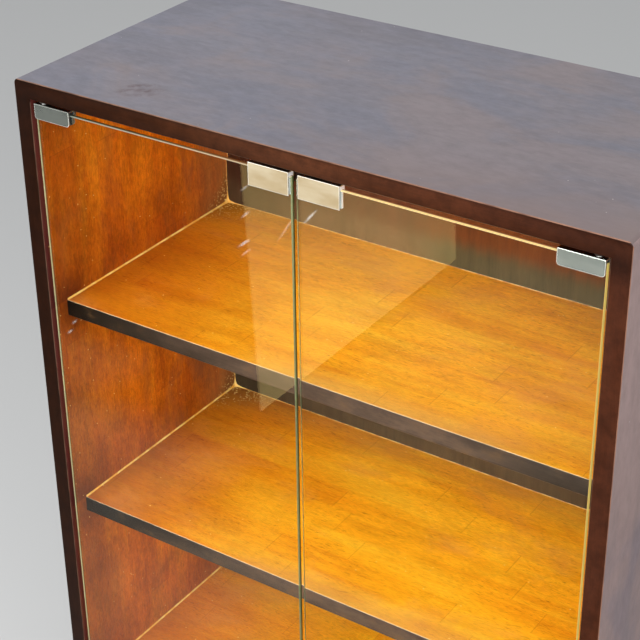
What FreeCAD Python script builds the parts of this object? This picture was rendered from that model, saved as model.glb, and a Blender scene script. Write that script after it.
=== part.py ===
import FreeCAD, Part
import Sketcher
import math
import os
from types import SimpleNamespace

# Display case: a mitred wooden carcass with fixed shelves and a pair of frameless glass doors.
# The doors turn on pivots at their outer corners and are held shut by a magnetic touch latch.
# Frame: +Z up, the doors face -Y, and the origin is on the floor under the middle of the case.

Vector = FreeCAD.Vector
Rotation = FreeCAD.Rotation

# Driving dimensions in millimetres.
SIZES = {
    # carcass
    "case_width": 630,
    "case_depth": 313,
    "board": 18,
    "bay_height": 225,
    "corner_radius": 5,
    "outer_easing": 1,
    "inner_easing": 0.8,
    # shelves
    "shelf_setback": 27,
    "shelf_easing": 0.8,
    "dowel_radius": 4,
    "dowel_in_side": 10,
    "dowel_in_shelf": 20,
    "dowel_edge": 45,
    # back panel and its rabbet
    "back_thickness": 9,
    "rear_recess": 5,
    "rabbet_depth": 8,
    "panel_gap": 0.5,
    "back_screw_inset": 60,
    "back_screw_bite": 14,
    "back_head_radius": 3,
    "back_head_depth": 2.2,
    # splines in the mitres
    "spline_width": 10,
    "spline_thickness": 4,
    "spline_offset": 6.4,
    "spline_stop": 30,
    # feet
    "foot_height": 10,
    "foot_radius": 15,
    "foot_taper": 2,
    "foot_inset": 38,
    "foot_counterbore": 5,
    "foot_screw_bite": 12,
    # wood screws
    "screw_radius": 1.6,
    "pan_head_radius": 3.4,
    "pan_head_height": 2.2,
    "recess_width": 0.9,
    "recess_length": 3.6,
    "recess_depth": 1.2,
    # glass doors
    "glass_thickness": 5,
    "glass_recess": 3.2,
    "door_side_gap": 4,
    "meeting_gap": 6,
    "door_top_gap": 8,
    "edge_packing": 3.4,
    # hinge clips and pivots
    "clip_length": 41.7,
    "clip_height": 15,
    "clip_face": 2.2,
    "clip_sheet": 1.2,
    "clip_rear": 3,
    "clip_corner": 3,
    "clip_pad": 1,
    "pad_margin": 1,
    "clip_screw_inset": 7,
    "set_screw_radius": 2,
    "set_screw_proud": 1,
    "socket_radius": 1.15,
    "socket_depth": 1.6,
    "pivot_inset": 8,
    "pin_radius": 2,
    "pin_collar": 0.8,
    "pin_collar_radius": 3.4,
    "pin_reach": 7,
    "bush_radius": 3.5,
    "bush_length": 9,
    "bush_flange": 1.2,
    "bush_flange_radius": 5,
    # strike plates
    "strike_width": 42.5,
    "strike_height": 22,
    "strike_sheet": 1,
    "strike_liner": 2,
    "strike_inset": 2,
    # touch latch
    "latch_width": 56,
    "latch_depth": 46,
    "latch_height": 17,
    "latch_axis_drop": 9,
    "latch_flange": 4,
    "latch_flange_depth": 12,
    "latch_screw_spacing": 36,
    "latch_screw_bite": 11,
    "plunger_spacing": 40,
    "plunger_radius": 5,
    "plunger_length": 32,
    "plunger_proud": 4,
    "magnet_radius": 3.5,
    "magnet_length": 3,
    "spring_space": 12,
    "spring_radius": 4,
    "spring_wire": 0.8,
    # clearances
    "running_gap": 0.05,
    "fixed_gap": 0.1,
    "end_gap": 0.5,
    "contact_gap": 0.3,
    "thrust_gap": 0.2,
    "cut_over": 1,
}

BAYS = 4
SPRING_TURNS = 6
FULL_TURN = 360
TOUCHING = 1e-6
SHELF_NAMES = ("lower_shelf", "middle_shelf", "upper_shelf")
SIDES = {"left": -1, "right": 1}

doc = FreeCAD.newDocument("DisplayCase")
sheet = doc.addObject("Spreadsheet::Sheet", "Sizes")
for row, (alias, number) in enumerate(SIZES.items(), start=1):
    sheet.set(f"A{row}", alias.replace("_", " "))
    sheet.set(f"B{row}", str(number))
    sheet.setAlias(f"B{row}", alias)
doc.recompute()


class Formula:
    # A length kept as the text of an expression on the sheet.
    def __init__(self, text):
        self.text = str(text)

    def __str__(self):
        return self.text

    def __neg__(self):
        return Formula(f"(-1 * {self})")

    def __add__(self, other):
        return Formula(f"({self} + {other})")

    def __radd__(self, other):
        return Formula(f"({other} + {self})")

    def __sub__(self, other):
        return Formula(f"({self} - {other})")

    def __rsub__(self, other):
        return Formula(f"({other} - {self})")

    def __mul__(self, other):
        return Formula(f"({self} * {other})")

    __rmul__ = __mul__

    def __truediv__(self, other):
        return Formula(f"({self} / {other})")


size = SimpleNamespace(**{alias: Formula(f"Sizes.{alias}") for alias in SIZES})
ORIGIN = (0, 0, 0)

# Turns that lay a piece drawn along +Z onto another direction.
ALONG_X = Rotation(Vector(0, 1, 0), 90)
TO_FRONT = Rotation(Vector(1, 0, 0), 90)
TO_REAR = Rotation(Vector(1, 0, 0), -90)
HEAD_DOWN = Rotation(Vector(1, 0, 0), 180)
UPSIDE_DOWN = Rotation(Vector(0, 1, 0), 180)

# Planes and edges that the pieces share.
half_width = size.case_width / 2
front = -size.case_depth / 2
rear = size.case_depth / 2
base = size.foot_height
lowest_floor = base + size.board
ceiling = lowest_floor + BAYS * size.bay_height + (BAYS - 1) * size.board
case_top = ceiling + size.board
inner_half = half_width - size.board
inner_height = ceiling - lowest_floor
panel_rear = rear - size.rear_recess
panel_front = panel_rear - size.back_thickness
shelf_front = front + size.shelf_setback
shelf_depth = panel_front - shelf_front

glass_front = front + size.glass_recess
glass_rear = glass_front + size.glass_thickness
glass_top = ceiling - size.door_top_gap
upper_bridge = glass_top + size.edge_packing
lower_bridge = lowest_floor + size.bush_flange + size.thrust_gap + size.pin_collar + size.clip_sheet
glass_bottom = lower_bridge + size.edge_packing
glass_height = glass_top - glass_bottom
glass_outer = inner_half - size.door_side_gap
glass_inner = size.meeting_gap / 2
glass_width = glass_outer - glass_inner

clip_front = glass_front - size.clip_face
clip_depth = size.clip_face + size.glass_thickness + size.clip_pad + size.clip_rear
clip_grip = size.clip_height - size.clip_sheet - size.edge_packing
pivot_x = glass_outer - size.pivot_inset
pivot_y = clip_front + clip_depth / 2

strike_front = glass_front - size.strike_sheet
strike_depth = size.glass_thickness + size.strike_liner + 2 * size.strike_sheet
strike_rear = strike_front + strike_depth
magnet_face = strike_rear + size.contact_gap
latch_front = magnet_face + size.plunger_proud
latch_rear = latch_front + size.latch_depth
latch_axis = ceiling - size.latch_axis_drop


def value(formula):
    return float(sheet.evalExpression(str(formula)))


def bind(item, **formulas):
    for name, formula in formulas.items():
        item.setExpression(name, str(formula))
    return item


def place(item, position, turn=Rotation()):
    item.Placement = FreeCAD.Placement(Vector(), turn)
    for axis, formula in zip("xyz", position):
        item.setExpression(f"Placement.Base.{axis}", str(formula))
    return item


def block(name, extent, corner=ORIGIN):
    length, width, height = extent
    item = bind(doc.addObject("Part::Box", name), Length=length, Width=width, Height=height)
    return place(item, corner)


def rod(name, radius, length, start=ORIGIN, turn=Rotation()):
    item = bind(doc.addObject("Part::Cylinder", name), Radius=radius, Height=length)
    return place(item, start, turn)


def draw_profile(body, role, corners):
    # A closed outline whose every corner is dimensioned from the sketch's origin.
    plane = next(item for item in body.Origin.OriginFeatures if item.Role == role)
    sketch = body.newObject("Sketcher::SketchObject", f"{body.Name}_profile")
    sketch.AttachmentSupport = [(plane, "")]
    sketch.MapMode = "FlatFace"
    points = [Vector(value(across), value(up), 0) for across, up in corners]
    for start, end in zip(points, points[1:] + points[:1]):
        sketch.addGeometry(Part.LineSegment(start, end))
    for index, (across, up) in enumerate(corners):
        before = (index - 1) % len(corners)
        sketch.addConstraint(Sketcher.Constraint("Coincident", before, 2, index, 1))
        for kind, formula in (("DistanceX", across), ("DistanceY", up)):
            rule = Sketcher.Constraint(kind, -1, 1, index, 1, value(formula))
            number = sketch.addConstraint(rule)
            sketch.setExpression(f"Constraints[{number}]", str(formula))
    return sketch


def padded(name, role, corners, length, reverse=False):
    body = doc.addObject("PartDesign::Body", name)
    pad = body.newObject("PartDesign::Pad", f"{name}_pad")
    pad.Profile = draw_profile(body, role, corners)
    pad.Reversed = reverse
    bind(pad, Length=length)
    body.Tip = pad
    doc.recompute()
    return body


def turned(name, corners):
    # A round piece about +Z, from its half section: radius across, height up.
    body = doc.addObject("PartDesign::Body", name)
    sketch = draw_profile(body, "XZ_Plane", corners)
    lathe = body.newObject("PartDesign::Revolution", f"{name}_turning")
    lathe.Profile = sketch
    lathe.ReferenceAxis = (sketch, ["V_Axis"])
    lathe.Angle = FULL_TURN
    body.Tip = lathe
    doc.recompute()
    return body


def round_edges(body, name, radius, chosen):
    before = body.Tip
    fillet = body.newObject("PartDesign::Fillet", name)
    edges = enumerate(before.Shape.Edges, start=1)
    fillet.Base = (before, [f"Edge{number}" for number, edge in edges if chosen(edge)])
    bind(fillet, Radius=radius)
    body.Tip = fillet
    doc.recompute()
    return body


def runs_along(edge, direction):
    straight = edge.Curve.TypeId == "Part::GeomLine"
    return straight and edge.tangentAt(edge.FirstParameter).cross(direction).Length < TOUCHING


def joined(name, pieces):
    item = doc.addObject("Part::MultiFuse", name)
    item.Shapes = pieces
    return item


def cut(name, solid, tools):
    item = doc.addObject("Part::Cut", name)
    item.Base = solid
    item.Tool = tools[0] if len(tools) == 1 else joined(f"{name}_cutters", tools)
    return item


def copies(master, places, turn=Rotation()):
    links = []
    for number, position in enumerate(places, start=1):
        link = doc.addObject("App::Link", f"{master.Name}_{number}")
        link.LinkedObject = master
        links.append(place(link, position, turn))
    return links


def group(name, pieces):
    item = doc.addObject("Part::Compound", name)
    item.Links = pieces
    return item


nodes = {}


def keep(item, solids=1):
    # Each kept piece is one node, named by its label.
    nodes[item.Label] = (item, solids)
    return item


# Wood screws with a cross recess, drawn with the face of the head at zero and the point upwards.

def screw_master(name, half_section):
    arm = (-size.recess_length / 2, -size.recess_width / 2, -size.cut_over)
    depth = size.recess_depth + size.cut_over
    slot = block(f"{name}_slot", (size.recess_length, size.recess_width, depth), arm)
    cross = block(f"{name}_cross", (size.recess_width, size.recess_length, depth), (arm[1], arm[0], arm[2]))
    return cut(name, turned(f"{name}_blank", half_section), [slot, cross])


def countersunk_section(gap, length):
    head = size.back_head_radius + gap
    shank = size.screw_radius + gap
    return [(0, 0), (head, 0), (shank, size.back_head_depth), (shank, length), (0, length)]


def pan_section(shank_length):
    end = size.pan_head_height + shank_length
    return [
        (0, 0),
        (size.pan_head_radius, 0),
        (size.pan_head_radius, size.pan_head_height),
        (size.screw_radius, size.pan_head_height),
        (size.screw_radius, end),
        (0, end),
    ]


# Splines across the four mitres, stopped short of the front and rear edges.

def slanted_strip(name, width, thickness, length, rising):
    # The section's corners, with the width along a rising or falling diagonal.
    reach = (width + thickness) / "sqrt(2)"
    long_side = width / "sqrt(2)"
    short_side = thickness / "sqrt(2)"
    corners = [(short_side, 0), (reach, long_side), (long_side, reach), (0, short_side)]
    if not rising:
        corners = [(across, reach - up) for across, up in reversed(corners)]
    return padded(name, "XZ_Plane", corners, length, reverse=True)


spline_length = size.case_depth - 2 * size.spline_stop
groove_width = size.spline_width + 2 * size.end_gap
groove_thickness = size.spline_thickness + 2 * size.fixed_gap
groove_length = spline_length + 2 * size.end_gap
splines = []
grooves = {}
for side, sign in SIDES.items():
    for level, up in (("bottom", -1), ("top", 1)):
        rising = sign * up < 0
        middle_x = sign * (inner_half + size.spline_offset)
        inner_corner = ceiling if up > 0 else lowest_floor
        middle_z = inner_corner + up * size.spline_offset
        spline = slanted_strip(
            f"{side}_{level}_spline", size.spline_width, size.spline_thickness, spline_length, rising)
        half_box = (size.spline_width + size.spline_thickness) / "sqrt(2)" / 2
        splines.append(place(spline, (middle_x - half_box, front + size.spline_stop, middle_z - half_box)))
        groove = slanted_strip(
            f"{side}_{level}_groove", groove_width, groove_thickness, groove_length, rising)
        half_box = (groove_width + groove_thickness) / "sqrt(2)" / 2
        start = front + size.spline_stop - size.end_gap
        grooves[side, level] = place(groove, (middle_x - half_box, start, middle_z - half_box))
keep(group("corner_splines", splines), solids=len(splines))

# Dowels that carry the shelves, half in the sides and half in the shelf ends.

dowel_length = size.dowel_in_side + size.dowel_in_shelf
dowel = rod("dowel", size.dowel_radius, dowel_length)
dowel_hole = rod("dowel_hole", size.dowel_radius + size.fixed_gap, dowel_length + 2 * size.end_gap)
dowel_rows = (
    shelf_front + size.dowel_edge,
    (shelf_front + panel_front) / 2,
    panel_front - size.dowel_edge,
)
shelf_undersides = [
    lowest_floor + (number + 1) * size.bay_height + number * size.board
    for number in range(BAYS - 1)
]
dowels = []
dowel_holes = {}
for side, sign in SIDES.items():
    start = inner_half - size.dowel_in_shelf if sign > 0 else -(inner_half + size.dowel_in_side)
    for shelf, underside in zip(SHELF_NAMES, shelf_undersides):
        middle = underside + size.board / 2
        dowels += copies(dowel, [(start, y, middle) for y in dowel_rows], ALONG_X)
        dowel_holes[side, shelf] = copies(
            dowel_hole, [(start - size.end_gap, y, middle) for y in dowel_rows], ALONG_X)
keep(group("shelf_dowels", dowels), solids=len(dowels))

# Screws round the edge of the back panel, into the shoulders of the rabbet.

back_screw_length = size.back_thickness + size.back_screw_bite
back_screw = screw_master("back_screw", countersunk_section(0, back_screw_length))
back_screw_hole = turned(
    "back_screw_hole", countersunk_section(size.fixed_gap, back_screw_length + size.end_gap))
screw_line_x = inner_half + size.rabbet_depth / 2
corner_x = inner_half - size.back_screw_inset
screw_line_low = lowest_floor - size.rabbet_depth / 2
screw_line_high = ceiling + size.rabbet_depth / 2
corner_low = lowest_floor + size.back_screw_inset
corner_high = ceiling - size.back_screw_inset
middle_height = (lowest_floor + ceiling) / 2
back_screw_places = {
    "top_panel": [(x, panel_rear, screw_line_high) for x in (-corner_x, 0, corner_x)],
    "bottom_panel": [(x, panel_rear, screw_line_low) for x in (-corner_x, 0, corner_x)],
    "left_side": [(-screw_line_x, panel_rear, z) for z in (corner_low, middle_height, corner_high)],
    "right_side": [(screw_line_x, panel_rear, z) for z in (corner_low, middle_height, corner_high)],
}
back_screws = []
back_screw_holes = {}
for board_name, places in back_screw_places.items():
    back_screws += copies(back_screw, places, TO_FRONT)
    back_screw_holes[board_name] = copies(back_screw_hole, places, TO_FRONT)
keep(group("back_screws", back_screws), solids=len(back_screws))

# Round feet with a counterbored screw each.

foot_screw_length = size.foot_height - size.foot_counterbore + size.foot_screw_bite
foot_screw = screw_master("foot_screw", pan_section(foot_screw_length))
foot_pilot = rod(
    "foot_pilot", size.screw_radius + size.fixed_gap, size.foot_screw_bite + size.end_gap)
foot_hole_radius = size.screw_radius + size.fixed_gap
counterbore_radius = size.pan_head_radius + size.end_gap
foot = turned("foot", [
    (foot_hole_radius, size.foot_counterbore),
    (counterbore_radius, size.foot_counterbore),
    (counterbore_radius, 0),
    (size.foot_radius - size.foot_taper, 0),
    (size.foot_radius, size.foot_taper),
    (size.foot_radius, size.foot_height),
    (foot_hole_radius, size.foot_height),
])
foot_x = half_width - size.foot_inset
foot_y = size.case_depth / 2 - size.foot_inset
foot_spots = [(sx * foot_x, sy * foot_y) for sx in (-1, 1) for sy in (-1, 1)]
foot_screw_base = size.foot_counterbore - size.pan_head_height
feet = copies(foot, [(x, y, 0) for x, y in foot_spots])
foot_screws = copies(foot_screw, [(x, y, foot_screw_base) for x, y in foot_spots])
foot_pilots = copies(foot_pilot, [(x, y, base) for x, y in foot_spots])
keep(group("foot_glides", feet), solids=len(feet))
keep(group("foot_screws", foot_screws), solids=len(foot_screws))

# Flanged bushes for the door pivots, let into the top and bottom panels.

bush_bore = size.pin_radius + size.running_gap
bush = turned("bush", [
    (bush_bore, 0),
    (size.bush_flange_radius, 0),
    (size.bush_flange_radius, size.bush_flange),
    (size.bush_radius, size.bush_flange),
    (size.bush_radius, size.bush_flange + size.bush_length),
    (bush_bore, size.bush_flange + size.bush_length),
])
bush_socket = rod("bush_socket", size.bush_radius + size.fixed_gap, size.bush_length + size.end_gap)
pivots = [(sign * pivot_x, pivot_y) for sign in SIDES.values()]
upper_bushes = copies(bush, [(x, y, ceiling - size.bush_flange) for x, y in pivots])
lower_bushes = copies(bush, [(x, y, lowest_floor + size.bush_flange) for x, y in pivots], HEAD_DOWN)
upper_sockets = copies(bush_socket, [(x, y, ceiling) for x, y in pivots])
lower_sockets = copies(bush_socket, [(x, y, lowest_floor) for x, y in pivots], HEAD_DOWN)
keep(group("upper_pivot_bushes", upper_bushes), solids=len(upper_bushes))
keep(group("lower_pivot_bushes", lower_bushes), solids=len(lower_bushes))

# Double touch latch under the top panel: one housing, two sprung plungers with magnets.

latch_half = size.latch_width / 2
latch_screw = screw_master("latch_screw", pan_section(size.latch_flange + size.latch_screw_bite))
latch_drill = rod(
    "latch_drill",
    size.screw_radius + size.fixed_gap,
    size.latch_flange + size.latch_screw_bite + size.end_gap)
latch_screw_y = latch_rear + size.latch_flange_depth / 2
latch_spots = [(sign * size.latch_screw_spacing / 2, latch_screw_y) for sign in SIDES.values()]
flange_under = ceiling - size.latch_flange
latch_screws = copies(latch_screw, [(x, y, flange_under - size.pan_head_height) for x, y in latch_spots])
latch_drills = copies(latch_drill, [(x, y, flange_under) for x, y in latch_spots])
keep(group("latch_screws", latch_screws), solids=len(latch_screws))

bore_depth = size.plunger_length - size.plunger_proud + size.spring_space
plunger_bore = rod("plunger_bore", size.plunger_radius + size.running_gap, bore_depth + size.cut_over)
plunger_xs = {side: sign * size.plunger_spacing / 2 for side, sign in SIDES.items()}
plunger_bores = copies(
    plunger_bore,
    [(x, latch_front - size.cut_over, latch_axis) for x in plunger_xs.values()],
    TO_REAR)
latch_body = joined("latch_body", [
    block(
        "latch_block",
        (size.latch_width, size.latch_depth, size.latch_height),
        (-latch_half, latch_front, ceiling - size.latch_height)),
    block(
        "latch_tab",
        (size.latch_width, size.latch_flange_depth, size.latch_flange),
        (-latch_half, latch_rear, flange_under)),
])
keep(cut("latch_housing", latch_body, plunger_bores + latch_drills))

# The springs behind the plungers, wound from half turns of two arcs each.

def leaving_arc(start, tangent, end):
    chord = end - start
    along = Vector(chord).normalize()
    across = (tangent - along * tangent.dot(along)).normalize()
    rise = chord.Length / 2 * math.tan(tangent.getAngle(chord) / 2)
    return Part.Arc(start, (start + end) / 2 + across * rise, end).toShape()


def half_turn(start, tangent, end, end_tangent):
    # Two arcs that meet smoothly, each with a tangent of the same length at its outer end.
    chord = end - start
    both = chord.dot(tangent + end_tangent)
    spread = 2 * (1 - tangent.dot(end_tangent))
    reach = (math.sqrt(both ** 2 + spread * chord.dot(chord)) - both) / spread
    meeting = (start + end + (tangent - end_tangent) * reach) / 2
    onward = (meeting - start - tangent * reach).normalize()
    return [leaving_arc(start, tangent, meeting), leaving_arc(meeting, onward, end)]


def wound_wire(outer_radius, wire_radius, length):
    coil = outer_radius - wire_radius
    climb = (length - 2 * wire_radius) / (2 * math.pi * SPRING_TURNS)
    knots = []
    for half in range(2 * SPRING_TURNS + 1):
        angle = half * math.pi
        knot = Vector(coil * math.cos(angle), coil * math.sin(angle), wire_radius + climb * angle)
        tangent = Vector(-coil * math.sin(angle), coil * math.cos(angle), climb).normalize()
        knots.append((knot, tangent))
    edges = sum((half_turn(*here, *there) for here, there in zip(knots, knots[1:])), [])
    pipe = Part.BRepOffsetAPI.MakePipeShell(Part.Wire(edges))
    pipe.add(Part.Wire(Part.makeCircle(wire_radius, *knots[0])))
    pipe.build()
    pipe.makeSolid()
    return pipe.shape()


spring_length = size.spring_space - size.contact_gap
spring = doc.addObject("Part::Feature", "spring")
spring.Shape = wound_wire(value(size.spring_radius), value(size.spring_wire / 2), value(spring_length))
springs = copies(
    spring,
    [(x, latch_front + bore_depth, latch_axis) for x in plunger_xs.values()],
    TO_FRONT)
keep(group("latch_springs", springs), solids=len(springs))

pocket_radius = size.magnet_radius + size.fixed_gap
pocket_floor = size.plunger_length - size.magnet_length
for side, x in plunger_xs.items():
    plunger = turned(f"{side}_plunger", [
        (0, 0),
        (size.plunger_radius, 0),
        (size.plunger_radius, size.plunger_length),
        (pocket_radius, size.plunger_length),
        (pocket_radius, pocket_floor),
        (0, pocket_floor),
    ])
    keep(place(plunger, (x, magnet_face + size.plunger_length, latch_axis), TO_FRONT))
    magnet_start = (x, magnet_face + size.magnet_length, latch_axis)
    keep(rod(f"{side}_magnet", size.magnet_radius, size.magnet_length, magnet_start, TO_FRONT))

# Boards of the carcass: mitred ends, a rabbet round the rear and eased edges.

case_height = case_top - base
outline = [(0, 0), (size.case_width, 0), (size.case_width, case_height), (0, case_height)]
envelope = padded("case_envelope", "XZ_Plane", outline, size.case_depth, reverse=True)
round_edges(
    envelope, "corner_rounding", size.corner_radius, lambda edge: runs_along(edge, Vector(0, 1, 0)))
round_edges(
    envelope, "edge_easing", size.outer_easing, lambda edge: not runs_along(edge, Vector(0, 1, 0)))
place(envelope, (-half_width, front, base))

rabbet_half = inner_half + size.rabbet_depth
rabbet = block(
    "rabbet",
    (2 * rabbet_half, rear - panel_front + size.cut_over, inner_height + 2 * size.rabbet_depth),
    (-rabbet_half, panel_front, lowest_floor - size.rabbet_depth))

# Flared plug that eases the inner edge of the front opening.
flare = size.inner_easing + size.cut_over
front_flare = bind(
    doc.addObject("Part::Wedge", "front_flare"),
    Xmin=-inner_half - flare,
    Xmax=inner_half + flare,
    Ymin=front - size.cut_over,
    Ymax=front + size.inner_easing,
    Zmin=lowest_floor - flare,
    Zmax=ceiling + flare,
    X2min=-inner_half,
    X2max=inner_half,
    Z2min=lowest_floor,
    Z2max=ceiling)

inner_right = size.case_width - size.board
inner_top = case_height - size.board
board_sections = {
    "bottom_panel": [outline[0], outline[1], (inner_right, size.board), (size.board, size.board)],
    "right_side": [outline[1], outline[2], (inner_right, inner_top), (inner_right, size.board)],
    "top_panel": [outline[2], outline[3], (size.board, inner_top), (inner_right, inner_top)],
    "left_side": [outline[3], outline[0], (size.board, size.board), (size.board, inner_top)],
}
board_cutters = {
    "bottom_panel": [grooves["left", "bottom"], grooves["right", "bottom"]] + lower_sockets + foot_pilots,
    "right_side": [grooves["right", "bottom"], grooves["right", "top"]],
    "top_panel": [grooves["left", "top"], grooves["right", "top"]] + upper_sockets + latch_drills,
    "left_side": [grooves["left", "bottom"], grooves["left", "top"]],
}
for side in SIDES:
    for shelf in SHELF_NAMES:
        board_cutters[f"{side}_side"] += dowel_holes[side, shelf]
for board_name, section in board_sections.items():
    blank = padded(f"{board_name}_blank", "XZ_Plane", section, size.case_depth, reverse=True)
    place(blank, (-half_width, front, base))
    cutters = [rabbet, front_flare] + back_screw_holes[board_name] + board_cutters[board_name]
    machined = cut(f"{board_name}_machined", blank, cutters)
    board = doc.addObject("Part::Common", board_name)
    board.Base = machined
    board.Tool = envelope
    keep(board)

# Back panel, loose in its rabbet.

panel_half = rabbet_half - size.panel_gap
panel_blank = block(
    "back_panel_blank",
    (2 * panel_half, size.back_thickness, inner_height + 2 * (size.rabbet_depth - size.panel_gap)),
    (-panel_half, panel_front, lowest_floor - size.rabbet_depth + size.panel_gap))
keep(cut("back_panel", panel_blank, sum(back_screw_holes.values(), [])))

# Shelves, set back from the doors and eased along the front.

ease = size.shelf_easing
shelf_section = [
    (0, ease),
    (ease, 0),
    (shelf_depth, 0),
    (shelf_depth, size.board),
    (ease, size.board),
    (0, size.board - ease),
]
for shelf, underside in zip(SHELF_NAMES, shelf_undersides):
    blank = padded(f"{shelf}_blank", "YZ_Plane", shelf_section, 2 * inner_half)
    place(blank, (-inner_half, shelf_front, underside))
    keep(cut(shelf, blank, dowel_holes["left", shelf] + dowel_holes["right", shelf]))

# Doors: glass, hinge clips with pivots, clamping pads and screws, and a strike plate.

def channel(name, length, height, front_leg, bridge, rear_leg, depth):
    # A U-shaped clip, open below, with its front face at zero.
    section = [
        (0, 0),
        (front_leg, 0),
        (front_leg, height - bridge),
        (depth - rear_leg, height - bridge),
        (depth - rear_leg, 0),
        (depth, 0),
        (depth, height),
        (0, height),
    ]
    return padded(name, "YZ_Plane", section, length)


def lower_corner(edge):
    # The edges across the legs at the four lower corners of a hinge clip.
    middle = edge.CenterOfMass
    end_distance = min(abs(middle.x), abs(middle.x - value(size.clip_length)))
    return runs_along(edge, Vector(0, 1, 0)) and end_distance < TOUCHING and abs(middle.z) < TOUCHING


def hinge_clip(name, pivot_at):
    clip = channel(
        f"{name}_channel", size.clip_length, size.clip_height,
        size.clip_face, size.clip_sheet, size.clip_rear, clip_depth)
    round_edges(clip, f"{name}_corners", size.clip_corner, lower_corner)
    pin_hole = rod(
        f"{name}_pin_hole", size.pin_radius + size.fixed_gap, size.clip_height,
        (pivot_at, clip_depth / 2, size.clip_height / 2))
    taps = [
        rod(
            f"{name}_tap_{number}", size.set_screw_radius + size.fixed_gap, clip_depth,
            (x, clip_depth / 2, clip_grip / 2), TO_REAR)
        for number, x in enumerate((size.clip_screw_inset, size.clip_length - size.clip_screw_inset))
    ]
    return cut(name, clip, [pin_hole] + taps)


def pivot_pin(name, gap):
    collar_end = size.clip_sheet + size.pin_collar
    end = gap + size.pin_reach
    return turned(name, [
        (0, 0),
        (size.pin_radius, 0),
        (size.pin_radius, size.clip_sheet),
        (size.pin_collar_radius, size.clip_sheet),
        (size.pin_collar_radius, collar_end),
        (size.pin_radius, collar_end),
        (size.pin_radius, end),
        (0, end),
    ])


set_screw_length = size.clip_rear + size.set_screw_proud
set_screw_socket = bind(
    doc.addObject("Part::Prism", "set_screw_socket"),
    Circumradius=size.socket_radius,
    Height=size.socket_depth + size.cut_over)
place(set_screw_socket, (0, 0, set_screw_length - size.socket_depth))
set_screw = cut(
    "set_screw", rod("set_screw_blank", size.set_screw_radius, set_screw_length), [set_screw_socket])

pad_height = clip_grip - 2 * size.pad_margin
pad_length = size.clip_length - 2 * size.pad_margin
pad_rear = glass_rear + size.clip_pad

# The liner of a strike plate lies behind the glass and on its top edge.
liner_rear = size.glass_thickness + size.strike_liner
liner_top = size.strike_height - size.strike_sheet
liner_section = [
    (size.glass_thickness, 0),
    (liner_rear, 0),
    (liner_rear, liner_top),
    (0, liner_top),
    (0, liner_top - size.edge_packing),
    (size.glass_thickness, liner_top - size.edge_packing),
]

for side, sign in SIDES.items():
    glass_left = -glass_outer if sign < 0 else glass_inner
    clip_left = -glass_outer if sign < 0 else glass_outer - size.clip_length
    clip_right = clip_left + size.clip_length
    strike_edge = glass_inner + size.strike_inset
    strike_left = strike_edge if sign > 0 else -strike_edge - size.strike_width
    near_left = size.pivot_inset
    near_right = size.clip_length - size.pivot_inset

    keep(block(
        f"{side}_glass",
        (glass_width, size.glass_thickness, glass_height),
        (glass_left, glass_front, glass_bottom)))

    upper = hinge_clip(f"{side}_upper_hinge", near_left if sign < 0 else near_right)
    keep(place(upper, (clip_left, clip_front, glass_top - clip_grip)))
    lower = hinge_clip(f"{side}_lower_hinge", near_right if sign < 0 else near_left)
    keep(place(lower, (clip_right, clip_front, glass_bottom + clip_grip), UPSIDE_DOWN))

    upper_pin = pivot_pin(f"{side}_upper_pin", ceiling - upper_bridge)
    keep(place(upper_pin, (sign * pivot_x, pivot_y, upper_bridge)))
    lower_pin = pivot_pin(f"{side}_lower_pin", lower_bridge - lowest_floor)
    keep(place(lower_pin, (sign * pivot_x, pivot_y, lower_bridge), HEAD_DOWN))

    pad_left = clip_left + size.pad_margin
    pad_size = (pad_length, size.clip_pad, pad_height)
    packing_size = (pad_length, size.glass_thickness, size.edge_packing)
    upper_pad_base = glass_top - pad_height - size.pad_margin
    pads = [
        block(f"{side}_upper_pad", pad_size, (pad_left, glass_rear, upper_pad_base)),
        block(f"{side}_lower_pad", pad_size, (pad_left, glass_rear, glass_bottom + size.pad_margin)),
        block(f"{side}_upper_packing", packing_size, (pad_left, glass_front, glass_top)),
        block(f"{side}_lower_packing", packing_size, (pad_left, glass_front, lower_bridge)),
    ]
    keep(group(f"{side}_hinge_pads", pads), solids=len(pads))

    screw_heights = (glass_top - clip_grip / 2, glass_bottom + clip_grip / 2)
    screw_xs = (clip_left + size.clip_screw_inset, clip_right - size.clip_screw_inset)
    set_screws = copies(set_screw, [(x, pad_rear, z) for x in screw_xs for z in screw_heights], TO_REAR)
    keep(group(f"{side}_hinge_screws", set_screws), solids=len(set_screws))

    strike = channel(
        f"{side}_strike_plate", size.strike_width, size.strike_height,
        size.strike_sheet, size.strike_sheet, size.strike_sheet, strike_depth)
    strike_base = upper_bridge - liner_top
    keep(place(strike, (strike_left, strike_front, strike_base)))
    liner = padded(f"{side}_strike_liner", "YZ_Plane", liner_section, size.strike_width)
    keep(place(liner, (strike_left, glass_front, strike_base)))

doc.recompute()

# Every feature and every kept piece has to be sound before anything is written.

for item in doc.Objects:
    if {"Invalid", "Error"} & set(item.State):
        raise RuntimeError(f"{item.Label} failed: {item.State}")
for label, (item, solids) in nodes.items():
    if item.Shape.isNull() or not item.Shape.isValid():
        raise RuntimeError(f"{label} has no sound shape")
    if len(item.Shape.Solids) != solids:
        raise RuntimeError(f"{label} has {len(item.Shape.Solids)} solids, not {solids}")

os.makedirs("parts", exist_ok=True)
for label, (item, solids) in nodes.items():
    item.Shape.exportStep(f"parts/{label}.step")
print(f"{len(nodes)} pieces written")
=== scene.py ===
import bpy
import bmesh
import math
from functools import partial, reduce
from mathutils import Matrix, Vector


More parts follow.
